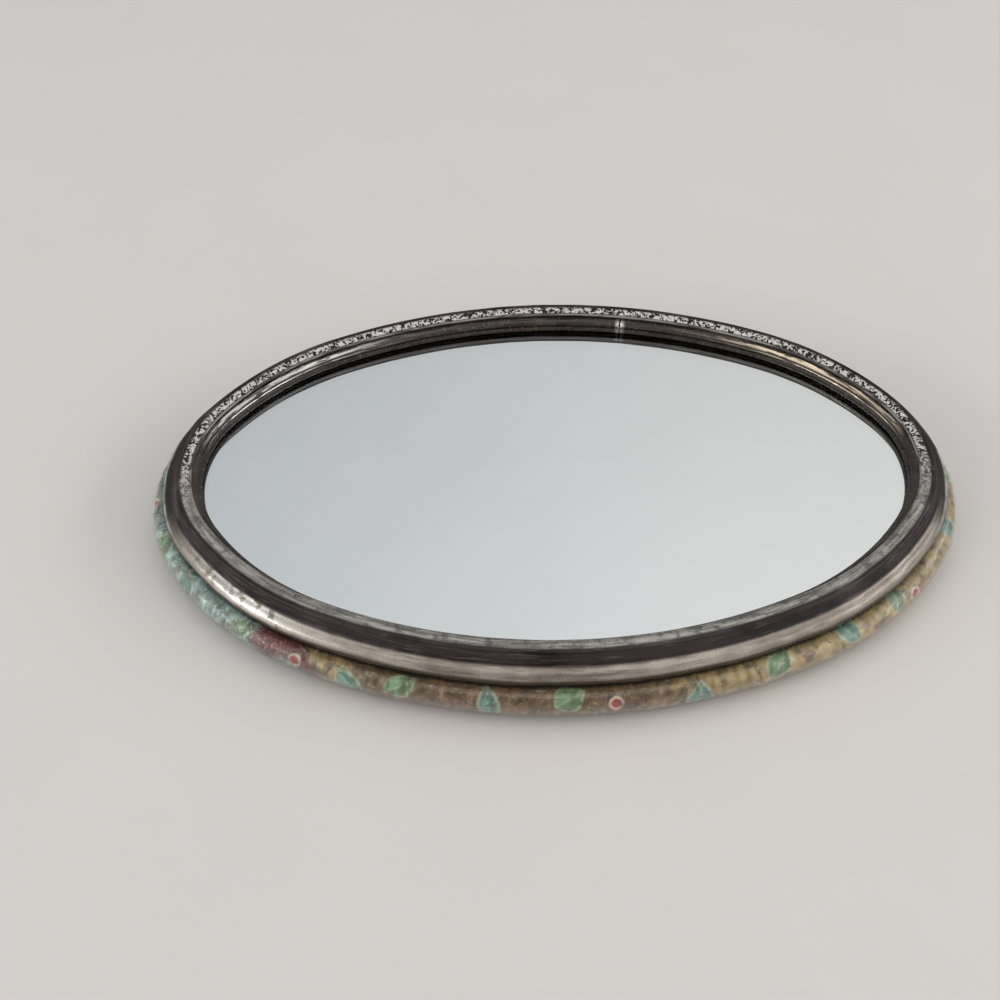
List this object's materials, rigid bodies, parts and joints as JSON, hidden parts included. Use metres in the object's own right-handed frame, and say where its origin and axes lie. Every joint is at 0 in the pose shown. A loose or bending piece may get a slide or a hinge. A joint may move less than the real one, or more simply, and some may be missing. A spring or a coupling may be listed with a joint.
{
  "type": "oval pocket mirror",
  "caption": "Oval pocket mirror: a mirror sunk in a beaded tin rim, on a tin back wrapped with printed paper under clear film.",
  "frame": {"origin": "middle of the oval, on the surface that the mirror lies on", "axes": "+X along the oval's length, +Y across it, +Z out of the mirror's face"},
  "size_m": [0.07, 0.0446, 0.0066],
  "materials": {
    "rim_tin": "tarnished, pitted tin plate, brownish in the hollows",
    "ring_tin": "duller, less handled tin plate",
    "back_tin": "plain tin plate",
    "film": "clear and glossy with small wrinkles",
    "print": "printed paper, mottled ground with flowers and dots",
    "glass": "clear float glass",
    "silvering": "silvered, painted behind",
    "card": "grey-brown pulp board"
  },
  "bodies": {
    "root": {"back_shell": "back_tin", "printed_paper": "print", "clear_film": "film", "front_rim": "rim_tin", "retaining_ring": "ring_tin", "mirror_glass": "glass", "silver_coat": "silvering", "backing_card": "card"}
  },
  "joints": []
}
